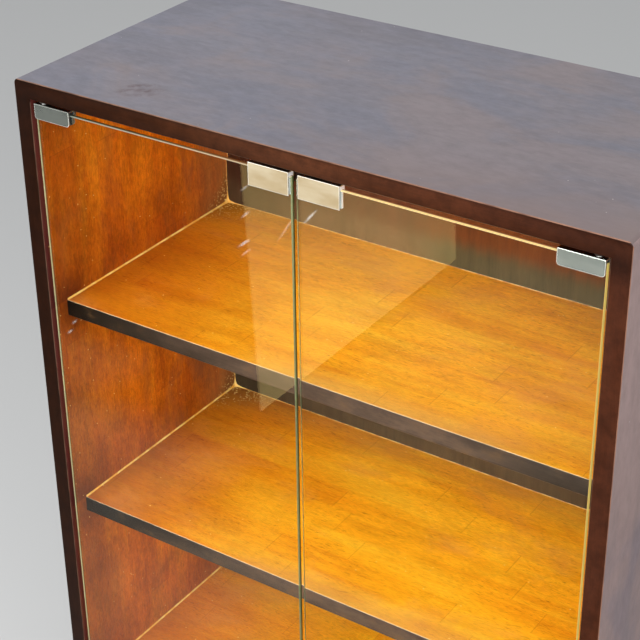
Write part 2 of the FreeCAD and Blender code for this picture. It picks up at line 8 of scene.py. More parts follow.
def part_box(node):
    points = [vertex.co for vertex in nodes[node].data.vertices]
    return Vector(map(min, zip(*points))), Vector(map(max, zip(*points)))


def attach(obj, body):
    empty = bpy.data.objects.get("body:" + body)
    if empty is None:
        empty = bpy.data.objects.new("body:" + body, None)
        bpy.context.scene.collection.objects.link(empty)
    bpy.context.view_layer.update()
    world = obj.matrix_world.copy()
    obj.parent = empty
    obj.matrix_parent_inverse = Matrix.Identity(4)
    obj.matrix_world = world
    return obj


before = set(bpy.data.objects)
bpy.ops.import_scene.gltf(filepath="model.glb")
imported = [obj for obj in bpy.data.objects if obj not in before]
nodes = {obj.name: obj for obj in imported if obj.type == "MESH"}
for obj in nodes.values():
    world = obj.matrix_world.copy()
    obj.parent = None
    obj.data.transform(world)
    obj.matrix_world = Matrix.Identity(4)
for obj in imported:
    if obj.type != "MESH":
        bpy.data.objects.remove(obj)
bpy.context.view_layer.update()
mm = 0.001  # the frame is in metres
easedAngle = math.radians(40)  # edges that turn by more than this are eased

# planes that the finishes and the beads share, all read from the frame
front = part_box("left_side")[0].y
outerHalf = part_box("right_side")[1].x
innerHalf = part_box("upper_shelf")[1].x
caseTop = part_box("top_panel")[1].z
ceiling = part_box("top_panel")[0].z
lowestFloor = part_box("bottom_panel")[1].z
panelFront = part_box("back_panel")[0].y
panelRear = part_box("back_panel")[1].y
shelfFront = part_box("upper_shelf")[0].y
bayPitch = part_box("upper_shelf")[1].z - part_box("middle_shelf")[1].z

# The settings below give a soft step as from, to and the two values there, or 0 and 1 where those are
# left out. From and to are in metres, or in millimetres from a plane where near reads them. A noise is
# cycles per metre along and across the grain, detail, roughness, warp and seed.
wideBand = (0.3, 0.7)  # parts of a noise's range that the finishes share
middleBand = (0.35, 0.65)
narrowBand = (0.36, 0.64)


def tint(red, green, blue):
    # 8-bit screen colour to the linear values that the sockets take
    def linear(level):
        share = level / 255
        return share / 12.92 if share <= 0.04045 else ((share + 0.055) / 1.055) ** 2.4
    return (linear(red), linear(green), linear(blue), 1.0)


class Nodes:
    # one node tree, with short calls for its nodes
    def __init__(self, owner):
        owner.use_nodes = True
        self.tree = owner.node_tree
        self.tree.nodes.clear()

    def node(self, kind, sockets=None, **settings):
        made = self.tree.nodes.new("ShaderNode" + kind)
        for name, setting in settings.items():
            setattr(made, name, setting)
        for name, value in (sockets or {}).items():
            self.feed(made.inputs[name], value)
        return made

    def output(self, kind, sockets=None, **settings):
        return self.node(kind, sockets, **settings).outputs[0]

    def feed(self, socket, value):
        if isinstance(value, bpy.types.NodeSocket):
            self.tree.links.new(value, socket)
        else:
            socket.default_value = value

    def maths(self, operation, first, second=0.0, third=0.0):
        return self.output("Math", {0: first, 1: second, 2: third}, operation=operation)

    def times(self, *masks):
        return reduce(partial(self.maths, "MULTIPLY"), masks)

    def most(self, *masks):
        return reduce(partial(self.maths, "MAXIMUM"), masks)


class Finish(Nodes):
    # one material, with short calls for what the finishes share
    def __init__(self, name):
        self.material = bpy.data.materials.new(name)
        super().__init__(self.material)
        coordinates = self.node("TexCoord").outputs
        self.point = coordinates["Object"]
        self.normal = coordinates["Normal"]
        self.x, self.y, self.z = self.parts(self.point)

    def parts(self, vector):
        split = self.node("SeparateXYZ", {0: vector}).outputs
        return split[0], split[1], split[2]

    def size(self, value):
        return self.maths("ABSOLUTE", value)

    def mixed(self, values, weights):
        # sum of value times weight
        made = 0.0
        for value, weight in zip(values, weights):
            made = self.maths("MULTIPLY_ADD", value, weight, made)
        return made

    def turned(self, first, second, angle):
        # two lengths at right angles, measured along axes turned by the angle
        cosine = math.cos(angle)
        sine = math.sin(angle)
        return self.mixed((first, second), (cosine, sine)), self.mixed((first, second), (-sine, cosine))

    def level(self, value, low, high, lowest=0.0, highest=1.0):
        # soft step from lowest to highest, as value goes from low to high
        sockets = {"Value": value, "From Min": low, "From Max": high, "To Min": lowest, "To Max": highest}
        return self.output("MapRange", sockets, interpolation_type="SMOOTHSTEP")

    def near(self, value, plane, low, high, lowest=0.0, highest=1.0):
        # soft step with low and high in millimetres from a plane
        return self.level(value, plane + low * mm, plane + high * mm, lowest, highest)

    def blend(self, share, first, second, mode="MIX"):
        # sockets 6, 7 and 2 are the node's two colours and its mixed one
        made = self.node("Mix", data_type="RGBA", blend_type=mode)
        self.feed(made.inputs[0], share)
        self.feed(made.inputs[6], first)
        self.feed(made.inputs[7], second)
        return made.outputs[2]

    def dimmed(self, colour, grey):
        factor = self.output("CombineXYZ", {0: grey, 1: grey, 2: grey})
        return self.blend(1.0, colour, factor, "MULTIPLY")

    def noise(self, layer, axis="x", seed=0.0):
        longCycles, crossCycles, detail, roughness, warp, ownSeed = layer
        scale = tuple(longCycles if name == axis else crossCycles for name in "xyz")
        shift = tuple((seed + ownSeed) * share for share in (1.0, 0.7, 0.3))  # another part of the noise
        moved = self.output("Mapping", {"Vector": self.point, "Scale": scale, "Location": shift})
        sockets = {"Vector": moved, "Scale": 1.0, "Detail": detail, "Roughness": roughness}
        return self.output("TexNoise", {**sockets, "Distortion": warp})

    def dots(self, cycles, size, share):
        # round, soft-edged specks in a share of the cells, with a radius of size times the cell
        cells = self.node("TexVoronoi", {"Vector": self.point, "Scale": cycles}).outputs
        chosen = self.maths("LESS_THAN", self.parts(cells["Color"])[0], share)
        return self.times(self.level(cells["Distance"], 0.6 * size, size, 1.0, 0.0), chosen)

    def ramp(self, value, stops):
        made = self.node("ValToRGB", {0: value})
        marks = made.color_ramp.elements
        while len(marks) < len(stops):
            marks.new(1.0)
        for mark, (place, colour) in zip(marks, stops):
            mark.position = place
            mark.color = colour
        return made.outputs[0]

    def bump(self, height, strength, distance):
        return self.output("Bump", {"Height": height, "Strength": strength, "Distance": distance})

    def principled(self, **sockets):
        named = {name.replace("_", " "): value for name, value in sockets.items()}
        return self.output("BsdfPrincipled", named)

    def finish(self, shader, volume=None):
        output = self.node("OutputMaterial", {"Surface": shader})
        if volume is not None:
            self.feed(output.inputs["Volume"], volume)
        return self.material

    def satin(self, colour, streak, height, look):
        # the wood's sheen: least and most roughness, specular level, strength and depth of the bump
        least, most, specular, *bump = look["sheen"]
        return self.finish(self.principled(
            Base_Color=colour, Roughness=self.level(streak, *wideBand, least, most),
            Specular_IOR_Level=specular, Normal=self.bump(height, *bump)))


def addObject(name, data):
    made = bpy.data.objects.new(name, data)
    bpy.context.scene.collection.objects.link(made)
    return made


def dress(names, material):
    for name in names:
        slots = nodes[name].data.materials
        slots.clear()
        slots.append(material)


def ease(names, width, segments):
    for name in names:
        bevel = nodes[name].modifiers.new("eased", "BEVEL")
        bevel.width = width
        bevel.segments = segments
        bevel.limit_method = "ANGLE"
        bevel.angle_limit = easedAngle


# grain of all the wood

grainLook = {
    "cloud": (7, 13, 4, 0.6, 0.5, 0),
    "streak": (6, 90, 5, 0.6, 0.2, 3),
    "fibre": (70, 800, 4, 0.65, 0.0, 7),
    "blotch": (14, 24, 4, 0.6, 0.5, 23),
    "fleck": (150, 460, 5, 0.74, 0.0, 17),
    "pore": (160, 900, 2, 0.5, 0.0, 29),
}


def grain(wood, axis, seed):
    # broad figure, streaks and fibres of a board
    return [wood.noise(grainLook[layer], axis, seed) for layer in ("cloud", "streak", "fibre")]


def bayRise(wood):
    # 0 at the floor of each bay, 1 at the next floor up
    return wood.maths("FRACT", wood.maths("DIVIDE", wood.maths("SUBTRACT", wood.z, lowestFloor), bayPitch))


# amber lacquer inside

amberLook = {
    "staveWidth": 34 * mm,
    "staveLength": 210 * mm,
    "staveShift": 9.0,  # how many staves one row can be moved against the next
    "joint": 0.8 * mm,
    "jointStrength": 0.3,
    "pore": tint(120, 52, 6),
    "poreStep": (0.58, 0.74),
    "poreStrength": (0.6, 0.25),
    "floorStops": [(0.34, tint(222, 132, 14)), (0.5, tint(242, 165, 28)), (0.66, tint(250, 188, 48))],
    "wallStops": [(0.34, tint(178, 80, 8)), (0.5, tint(214, 114, 12)), (0.68, tint(234, 146, 26))],
    "figure": (0.38, 0.36, 0.18, 0.08),  # shares of the cloud, streaks, fibres and staves
    "stain": (0.42, 0.58),  # shares of the blotches and flecks
    "stainLift": 0.8,  # how much the stain brightens, where it darkens by 1
    "cornerShade": tint(104, 66, 22),
    "cornerShadeCore": 12 * mm,
    "cornerShadeStrength": 0.5,
    "speck": tint(255, 222, 140),
    # cells per metre, radius in cells and share of the cells
    "specks": (360, 0.4, 0.75),
    "loneSpecks": (90, 0.07, 0.5),
    "loneStrength": 0.7,
}


def staves(wood, longway, crossway, seed):
    # a tone for each glued-up stave, and the butt joints between them
    length = amberLook["staveLength"]
    row = wood.maths("FLOOR", wood.maths("DIVIDE", crossway, amberLook["staveWidth"]))
    rowSeed = wood.maths("ADD", row, seed)
    shift = wood.node("TexWhiteNoise", {"W": rowSeed}, noise_dimensions="1D").outputs["Value"]
    unshifted = wood.maths("DIVIDE", longway, length)
    place = wood.maths("MULTIPLY_ADD", shift, amberLook["staveShift"], unshifted)
    cell = wood.output("CombineXYZ", {0: row, 1: wood.maths("FLOOR", place), 2: seed})
    tone = wood.node("TexWhiteNoise", {"Vector": cell}, noise_dimensions="3D").outputs["Value"]
    fromMiddle = wood.size(wood.maths("SUBTRACT", wood.maths("FRACT", place), 0.5))
    joint = amberLook["joint"] / length
    return tone, wood.level(fromMiddle, 0.5 - 0.8 * joint, 0.5 - 0.3 * joint)


def lacquerTone(wood, axis, crossway, seed, stops, unevenness):
    cloud, streak, fibre = grain(wood, axis, seed)
    stave, joint = staves(wood, wood.z if axis == "z" else wood.x, crossway, seed)
    tone = wood.mixed((cloud, streak, fibre, stave), amberLook["figure"])
    # uneven stain: soft blotches, and short flecks along the grain
    blotch = wood.noise(grainLook["blotch"], axis, seed)
    fleck = wood.noise(grainLook["fleck"], axis, seed)
    shade = wood.mixed((blotch, fleck), amberLook["stain"])
    lift = amberLook["stainLift"] * unevenness
    colour = wood.dimmed(
        wood.ramp(tone, stops), wood.level(shade, *narrowBand, 1.0 - unevenness, 1.0 + lift))
    pore = wood.noise(grainLook["pore"], axis, seed)
    pores = wood.times(
        wood.level(pore, *amberLook["poreStep"]),
        wood.level(cloud, *middleBand, *amberLook["poreStrength"]))
    dark = wood.most(pores, wood.times(joint, amberLook["jointStrength"]))
    return wood.blend(dark, colour, amberLook["pore"]), fibre, streak


def rearCorner(wood, inside, rise, reach):
    # painted shade and specks of lacquer in the rear left corner of each bay, and a few lone specks
    away = wood.mixed((wood.x, wood.y, rise), (1.0, -1.0, bayPitch))
    nearest = -innerHalf - panelFront
    corner = wood.level(away, nearest + amberLook["cornerShadeCore"], nearest + reach, 1.0, 0.0)
    inside = wood.blend(wood.times(corner, amberLook["cornerShadeStrength"]), inside, amberLook["cornerShade"])
    specks = wood.times(corner, wood.dots(*amberLook["specks"]))
    loneSpecks = wood.times(wood.dots(*amberLook["loneSpecks"]), amberLook["loneStrength"])
    return wood.blend(wood.most(specks, loneSpecks), inside, amberLook["speck"])


# dark stain outside

stainLook = {
    # plain, cool and warm colour, and the shares of the streaks, fine grain, fibres and patches
    # the grey bloom is partly a painted sky reflection; the paler sides are painted lit from the right
    "haze": (tint(119, 115, 123), tint(116, 115, 126), tint(122, 111, 112), (0.1, 0.36, 0.12, 0.42)),
    "side": (tint(141, 122, 123), tint(131, 115, 119), tint(149, 125, 120), (0.34, 0.34, 0.12, 0.2)),
    "patch": (7, 11, 5, 0.6, 0.6, 11),
    "fine": (60, 120, 5, 0.7, 0.0, 13),
    # shares of the patches, and of the right and front, in how bare the stain is
    "sheenThinShares": (1.0, 0.16, 0.06),
    "sheenThinRight": (-0.25, 0.3),
    "sheenThinFront": (-0.12, 0.06, 1.0, 0.0),
    "sheenThinStep": (0.52, 0.76, 0.0, 0.8),
    "shadeStep": (0.34, 0.66, 0.81, 1.18),
    "sideSheenRise": (0.7, 0.95, 0.92, 1.18),
    "thin": tint(130, 110, 104),
    "thinFront": (0, 90, 0.7, 0.0),
    "thinRight": (-0.1, 0.3),
    "dust": tint(190, 182, 178),
    "dustNoise": (330, 330, 0, 0.55, 0.0, 19),
    "dustStep": (0.88, 0.92),
}


def paintedSheenTone(wood, axis, seed, kind):
    # satin outside, with a grey bloom, partly a painted reflection, over the dark stain and a little dust
    plain, cool, warm, shares = stainLook[kind]
    cloud, streak, fibre = grain(wood, axis, seed)
    patch = wood.noise(stainLook["patch"], axis, seed)
    fine = wood.noise(stainLook["fine"], axis, seed)
    colour = wood.blend(wood.level(cloud, *middleBand), cool, plain)
    # the bloom and its painted reflection thin out towards the right and the front, where the stain shows
    # through
    toRight = wood.level(wood.x, *stainLook["sheenThinRight"])
    toFront = wood.level(wood.y, *stainLook["sheenThinFront"])
    sheenThin = wood.mixed((patch, toRight, toFront), stainLook["sheenThinShares"])
    colour = wood.blend(wood.level(sheenThin, *stainLook["sheenThinStep"]), colour, warm)
    shade = wood.mixed((streak, fine, fibre, patch), shares)
    colour = wood.dimmed(colour, wood.level(shade, *stainLook["shadeStep"]))
    if kind == "side":
        # the sides' bloom, partly painted reflection, grows towards the top
        colour = wood.dimmed(colour, wood.level(wood.z, *stainLook["sideSheenRise"]))  # more bloom near the top
    else:
        corner = wood.times(
            wood.near(wood.y, front, *stainLook["thinFront"]),
            wood.level(wood.x, *stainLook["thinRight"]))
        colour = wood.blend(corner, colour, stainLook["thin"])
    speck = wood.level(wood.noise(stainLook["dustNoise"], seed=seed), *stainLook["dustStep"])
    return wood.blend(speck, colour, stainLook["dust"])


frontLook = {
    "stops": [(0.0, tint(32, 11, 2)), (0.5, tint(69, 36, 18)), (1.0, tint(62, 29, 14))],
    "seed": 20,
    "blotch": (60, 60, 6, 0.75, 0.0, 37),
    "shares": (0.15, 0.2, 0.65),  # of the streaks, fibres and blotches
    "shade": (0.7, 1.28),
    "onBoard": (-30, -1),
    "rightEnd": (0.17, 0.28, 1.0, 0.62),
    "lowerEdge": (-2, 10, 0.72, 1.08),
    "upperEdge": (-4, -1.5, 1.0, 0.72),
}


def frontTone(wood, axis, seed):
    # dark front edges, lighter and redder towards the right as painted light
    streak, fibre = grain(wood, axis, seed + frontLook["seed"])[1:]
    blotch = wood.noise(frontLook["blotch"])
    colour = wood.ramp(wood.level(wood.x, -outerHalf, outerHalf), frontLook["stops"])
    # the top board darkens towards its right end and lower edge, and right under the arris
    drop = wood.times(
        wood.level(wood.x, *frontLook["rightEnd"]),
        wood.near(wood.z, ceiling, *frontLook["lowerEdge"]),
        wood.near(wood.z, caseTop, *frontLook["upperEdge"]))
    onBoard = wood.near(wood.z, ceiling, *frontLook["onBoard"])
    colour = wood.blend(onBoard, colour, wood.dimmed(colour, drop))
    shade = wood.mixed((streak, fibre, blotch), frontLook["shares"])
    return wood.dimmed(colour, wood.level(shade, *narrowBand, *frontLook["shade"]))


markLook = {
    "colour": tint(84, 66, 68),
    "place": (-0.1947, -0.1165),
    "radius": 18 * mm,
    "edge": (0.6, 1.05),  # where it fades, in radii
    "stretch": 1.4,
    "turn": 0.6,
    "blotch": (130, 130, 4, 0.6, 0.0, 4),
    "blotchStep": (0.36, 0.62, 0.1, 0.7),
    "smearPitch": 13 * mm,
    "smearWaver": 4.0,
    "smearStep": (-0.8, 0.5, 0.35, 1.0),
    "onTop": (-2, -1),
}


def cupMark(wood):
    # blotchy mark left by a cup on the top
    right = wood.maths("SUBTRACT", wood.x, markLook["place"][0])
    back = wood.maths("SUBTRACT", wood.y, markLook["place"][1])
    lengthwise, crosswise = wood.turned(right, back, markLook["turn"])
    squeezed = wood.maths("DIVIDE", lengthwise, markLook["stretch"])
    reach = wood.maths("SQRT", wood.mixed((squeezed, crosswise), (squeezed, crosswise)))
    blotch = wood.noise(markLook["blotch"])
    # smears left by wiping it
    waves = (math.tau / markLook["smearPitch"], markLook["smearWaver"])
    smear = wood.maths("SINE", wood.mixed((crosswise, blotch), waves))
    fadeStart, fadeEnd = (share * markLook["radius"] for share in markLook["edge"])
    return wood.times(
        wood.level(reach, fadeStart, fadeEnd, 1.0, 0.0),
        wood.level(blotch, *markLook["blotchStep"]),
        wood.level(smear, *markLook["smearStep"]),
        wood.near(wood.z, caseTop, *markLook["onTop"]))


wallLook = {
    "deep": (0.40, 0.29, 0.5, 1.0),
    "footShadeStep": (0.02, 0.5, 0.4, 0.0),
    "deepFront": (20, 120, 0.75, 0.0),
    "uneven": (0.6, 1.0),
    "shelfEndDark": tint(84, 30, 14),
    "shelfEndReach": (4, 32, 1.0, 0.0),
    "shelfEndAbove": (0.0, 0.15, 0.8, 0.0),
    "shelfEndBelow": (0.78, 0.92, 0.0, 0.6),
    "cloudy": tint(136, 78, 46),
    "cloud": (12, 24, 5, 0.6, 0.5, 61),
    "cloudStep": (0.48, 0.68, 0.0, 0.7),
    "cloudStart": 40 * mm,
    "cloudShare": (0.3, 1.0),
    "corner": tint(156, 114, 78),
    "cornerStep": (-90, 0, 0.0, 0.6),
    "cornerShadeReach": 50 * mm,
}


def wallWear(wood, inside, streak):
    # painted shade towards the foot of each bay, and darker towards the front
    rise = bayRise(wood)
    footShading = wood.level(rise, *wallLook["footShadeStep"])
    nearFront = wood.near(wood.y, front, *wallLook["deepFront"])
    for darkening in (footShading, nearFront):
        inside = wood.blend(darkening, inside, wallLook["deep"], "MULTIPLY")
    # darker round the front end of each shelf
    uneven = wood.level(streak, *wideBand, *wallLook["uneven"])
    fromShelf = wood.size(wood.maths("SUBTRACT", wood.y, shelfFront))
    beside = wood.near(fromShelf, 0.0, *wallLook["shelfEndReach"])
    aboveOrBelow = wood.most(
        wood.level(rise, *wallLook["shelfEndAbove"]), wood.level(rise, *wallLook["shelfEndBelow"]))
    inside = wood.blend(wood.times(beside, aboveOrBelow, uneven), inside, wallLook["shelfEndDark"])
    # brown clouds in the lacquer, more of them towards the back
    cloudy = wood.times(
        wood.level(wood.noise(wallLook["cloud"], "z"), *wallLook["cloudStep"]),
        wood.level(wood.y, front + wallLook["cloudStart"], panelFront, *wallLook["cloudShare"]))
    inside = wood.blend(cloudy, inside, wallLook["cloudy"])
    backCorner = wood.near(wood.y, panelFront, *wallLook["cornerStep"])
    inside = wood.blend(wood.times(backCorner, uneven), inside, wallLook["corner"])
    return rearCorner(wood, inside, rise, wallLook["cornerShadeReach"])


boardLook = {
    "sheen": (0.36, 0.48, 0.14, 0.12, 0.2 * mm),
    "rim": tint(126, 66, 52),
    "rimStep": (6, 14, 1.0, 0.0),
    # how far round the inner edges the lacquer and the front's stain reach, in millimetres
    "insideReach": 0.2,
    "frontReach": 2.0,
    "insideStart": (0.5, 1.2),
    "frontStep": (0.2, 0.9, 1.0, 0.0),
    "worn": tint(138, 104, 84),
    "wornRight": tint(152, 110, 88),
    "wornStep": (-0.1, 0.32),
    "rub": (45, 45, 4, 0.55, 0.0, 31),
    "rubStep": (0.3, 0.6, 0.35, 0.9),
    "outerDepth": (0.6, 1.1, 1.0, 0.0),
    "outerTop": (-0.9, -0.4),
    "outerSide": (-0.7, -0.3),
    "innerStart": (0.1, 0.3, 0.0, 0.4),
    "innerEnd": (0.7, 1.0, 1.0, 0.0),
    "innerSide": (1.0, 1.2, 1.0, 0.0),
    "innerTop": (-4, -2, 1.0, 0.0),
    # pieces, finish, axis of the grain, seed, lacquer inside, stain outside and how uneven it is
    "boards": [
        (["left_side", "right_side"], "side_stain", "z", 0.0, "wallStops", "side", 0.34),
        (["top_panel"], "top_stain", "x", 5.0, "wallStops", "haze", 0.34),
        (["bottom_panel"], "bottom_stain", "x", 9.0, "floorStops", "haze", 0.17),
    ],
}


def insideCase(wood, across, reach):
    # the room between the inner faces of the case, and reach millimetres into the boards
    return wood.times(
        wood.near(across, innerHalf, reach, 2 * reach, 1.0, 0.0),
        wood.near(wood.z, lowestFloor, -2 * reach, -reach),
        wood.near(wood.z, ceiling, reach, 2 * reach, 1.0, 0.0))


def boardFinish(name, axis, seed, stops, kind, unevenness):
    wood = Finish(name)
    across = wood.size(wood.x)
    outside = wood.blend(cupMark(wood), paintedSheenTone(wood, axis, seed, kind), markLook["colour"])
    inside, fibre, streak = lacquerTone(wood, axis, wood.y, seed, amberLook[stops], unevenness)

    # the inside starts behind the eased front edge, with a redder rim in front of the glass
    within = wood.times(
        insideCase(wood, across, boardLook["insideReach"]),
        wood.near(wood.y, front, *boardLook["insideStart"]))
    inside = wood.blend(wood.near(wood.y, front, *boardLook["rimStep"]), inside, boardLook["rim"])
    if kind == "side":
        inside = wallWear(wood, inside, streak)
    facing = wood.most(
        insideCase(wood, across, boardLook["frontReach"]),
        wood.near(wood.y, front, *boardLook["frontStep"]))
    colour = wood.blend(facing, outside, frontTone(wood, axis, seed))
    colour = wood.blend(within, colour, inside)

    # worn arrises round the front, partly painted highlights; the inner arris is only a painted highlight
    outerArrisWearAndHighlight = wood.times(wood.near(wood.y, front, *boardLook["outerDepth"]), wood.most(
        wood.near(wood.z, caseTop, *boardLook["outerTop"]),
        wood.near(across, outerHalf, *boardLook["outerSide"])))
    innerArrisHighlight = wood.times(
        wood.near(wood.y, front, *boardLook["innerStart"]),
        wood.near(wood.y, front, *boardLook["innerEnd"]),
        wood.near(across, innerHalf, *boardLook["innerSide"]),
        wood.near(wood.z, ceiling, *boardLook["innerTop"]))
    rub = wood.level(wood.noise(boardLook["rub"], seed=seed), *boardLook["rubStep"])
    toRight = wood.level(wood.x, *boardLook["wornStep"])
    worn = wood.blend(toRight, boardLook["worn"], boardLook["wornRight"])
    colour = wood.blend(wood.times(wood.most(outerArrisWearAndHighlight, innerArrisHighlight), rub), colour, worn)
    return wood.satin(colour, streak, fibre, boardLook)


for pieces, *look in boardLook["boards"]:
    dress(pieces, boardFinish(*look))
print("carcass dressed")

# shelves

shelfLook = {
    "sheen": (0.34, 0.46, 0.14, 0.1, 0.2 * mm),
    "unevenness": 0.15,
    "leftEndShade": (0.62, 0.39, 0.28, 1.0),
    "leftEndShadeAtBack": 0.5,
    "frontToBack": (0.94, 1.1),
    "leftStop": -0.15,
    "rightStart": 0.04,
    "rightMargin": 40 * mm,
    "bloom": tint(216, 140, 70),
    "bloomNoise": (9, 16, 5, 0.6, 0.4, 53),
    "bloomStep": (0.5, 0.72, 0.0, 0.4),
    "backShade": tint(92, 64, 78),
    "backShadeDepth": 60 * mm,
    "frontHaze": tint(165, 129, 93),
    "frontHazeDepth": (0, 40, 0.36, 0.0),
    "frontHazeLeft": (-0.12, 0.02),
    "frontHazeRight": (0.17, 0.26, 1.0, 0.0),
    "cornerShadeReach": 80 * mm,
    "under": tint(86, 40, 12),
    "underLight": tint(178, 80, 8),
    "topStep": (-1.2, -0.6),
    "edgeLeftShaded": tint(20, 12, 7),
    "edgeMiddle": tint(79, 60, 49),
    "edgeRight": tint(58, 46, 38),
    "edgeRightStep": (0.13, 0.25),
    "edgeBare": tint(84, 56, 28),
    "edgeStep": (0.4, 0.9, 1.0, 0.0),
    "edgeShares": (0.3, 0.2, 0.5),  # of the streaks, fibres and scuffs
    "edgeShade": (0.62, 1.3),
    "scuff": (38, 60, 5, 0.65, 0.0, 41),
    "scuffStep": (0.5, 0.72, 0.0, 0.4),
    "worn": tint(252, 224, 184),
    "wornDepth": (0.4, 0.8, 1.0, 0.0),
    "wornHeight": (-0.5, -0.2),
    "rub": (30, 60, 4, 0.55, 0.0, 13),
    "rubStep": (0.3, 0.55, 0.6, 1.0),
    # each board's own seed, warmth, painted shade at its left and right ends, and painted shade along its
    # back
    "boards": [
        ("upper_shelf", 2.0, (1.0, 1.0, 1.0, 1.0), 1.0, 0.85, 0.0),
        ("middle_shelf", 14.0, (1.06, 1.0, 0.8, 1.0), 0.82, 1.0, 0.21),
        ("lower_shelf", 27.0, (1.1, 1.06, 0.8, 1.0), 1.0, 1.0, 0.21),
    ],
}


def shelfTop(wood, top, seed, warmth, leftEnd, rightEnd, backShade):
    # painted shade: redder and darker towards the left end, less so at the back
    leftEndShaded = wood.times(
        wood.level(wood.x, -innerHalf, 0.0, 1.0, 0.0),
        wood.level(wood.y, 0.0, panelFront, 1.0, shelfLook["leftEndShadeAtBack"]))
    top = wood.blend(leftEndShaded, top, shelfLook["leftEndShade"], "MULTIPLY")
    rightStop = innerHalf - shelfLook["rightMargin"]
    # painted light towards the back, and painted shade at both ends
    for grey in (
            wood.level(wood.y, shelfFront, panelFront, *shelfLook["frontToBack"]),
            wood.level(wood.x, -innerHalf, shelfLook["leftStop"], leftEnd, 1.0),
            wood.level(wood.x, shelfLook["rightStart"], rightStop, 1.0, rightEnd)):
        top = wood.dimmed(top, grey)
    top = wood.blend(1.0, top, warmth, "MULTIPLY")
    bloom = wood.noise(shelfLook["bloomNoise"], "x", seed)
    top = wood.blend(wood.level(bloom, *shelfLook["bloomStep"]), top, shelfLook["bloom"])
    # painted shade along the back, and a haze along the middle of the front
    shadeStart = panelFront - shelfLook["backShadeDepth"]
    top = wood.blend(wood.level(wood.y, shadeStart, panelFront, 0.0, backShade), top, shelfLook["backShade"])
    handled = wood.times(
        wood.near(wood.y, shelfFront, *shelfLook["frontHazeDepth"]),
        wood.level(wood.x, *shelfLook["frontHazeLeft"]),
        wood.level(wood.x, *shelfLook["frontHazeRight"]))
    top = wood.blend(handled, top, shelfLook["frontHaze"])
    return rearCorner(wood, top, 0.0, shelfLook["cornerShadeReach"])


def shelfEdge(wood, streak, fibre, seed):
    # dark front edge, with painted shade towards its left end, scuffed down to bare wood in places
    edge = wood.blend(wood.level(wood.x, -innerHalf, 0.0), shelfLook["edgeLeftShaded"], shelfLook["edgeMiddle"])
    edge = wood.blend(wood.level(wood.x, *shelfLook["edgeRightStep"]), edge, shelfLook["edgeRight"])
    scuff = wood.noise(shelfLook["scuff"], "x", seed)
    edge = wood.blend(wood.level(scuff, *shelfLook["scuffStep"]), edge, shelfLook["edgeBare"])
    shade = wood.mixed((streak, fibre, scuff), shelfLook["edgeShares"])
    return wood.dimmed(edge, wood.level(shade, *narrowBand, *shelfLook["edgeShade"]))


def shelfFinish(name, node, seed, *look):
    wood = Finish(name)
    low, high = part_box(node)
    top, fibre, streak = lacquerTone(
        wood, "x", wood.y, seed, amberLook["floorStops"], shelfLook["unevenness"])
    top = shelfTop(wood, top, seed, *look)
    # the underside is painted darker, as shade
    undersideShaded = wood.blend(wood.level(streak, *wideBand), shelfLook["under"], shelfLook["underLight"])
    colour = wood.blend(wood.near(wood.z, high.z, *shelfLook["topStep"]), undersideShaded, top)
    edge = shelfEdge(wood, streak, fibre, seed)
    colour = wood.blend(wood.near(wood.y, low.y, *shelfLook["edgeStep"]), colour, edge)
    worn = wood.times(
        wood.near(wood.y, low.y, *shelfLook["wornDepth"]),
        wood.near(wood.z, high.z, *shelfLook["wornHeight"]),
        wood.level(wood.noise(shelfLook["rub"], "x", seed), *shelfLook["rubStep"]))
    colour = wood.blend(worn, colour, shelfLook["worn"])
    return wood.satin(colour, streak, fibre, shelfLook)


for shelf, *look in shelfLook["boards"]:
    dress([shelf], shelfFinish(shelf + "_lacquer", shelf, *look))
print("shelves dressed")

# back panel and the hidden beech

backLook = {
    "sheen": (0.4, 0.55, 0.15, 0.12, 0.4 * mm),
    "seed": 40.0,
    "shares": (0.4, 0.4, 0.2),  # of the cloud, streaks and fibres
    "insideStops": [(0.34, tint(68, 36, 23)), (0.66, tint(102, 60, 38))],
    "insideRightStops": [(0.34, tint(80, 41, 19)), (0.66, tint(119, 67, 31))],
    "rightStep": (-0.08, 0.0),
    "foot": tint(104, 76, 52),
    "footRight": tint(75, 72, 49),
    "footLow": tint(77, 66, 48),
    "footHeight": 30 * mm,
    "footWaver": 16 * mm,
    "footEdge": (0.8, 1.6),  # where the foot fades, in foot heights
    "footStrength": 0.85,
    "footShade": (0.36, 0.62, 0.72, 1.26),
    "topBay": (0.6, 0.7),
    "endDepth": 220 * mm,
    "endShade": 0.6,
    "veneer": (4, 60, 5, 0.55, 0.4, 44),
    "rearStops": [(0.35, tint(92, 64, 42)), (0.65, tint(120, 88, 60))],
    "rearStep": (-4, -2),
}


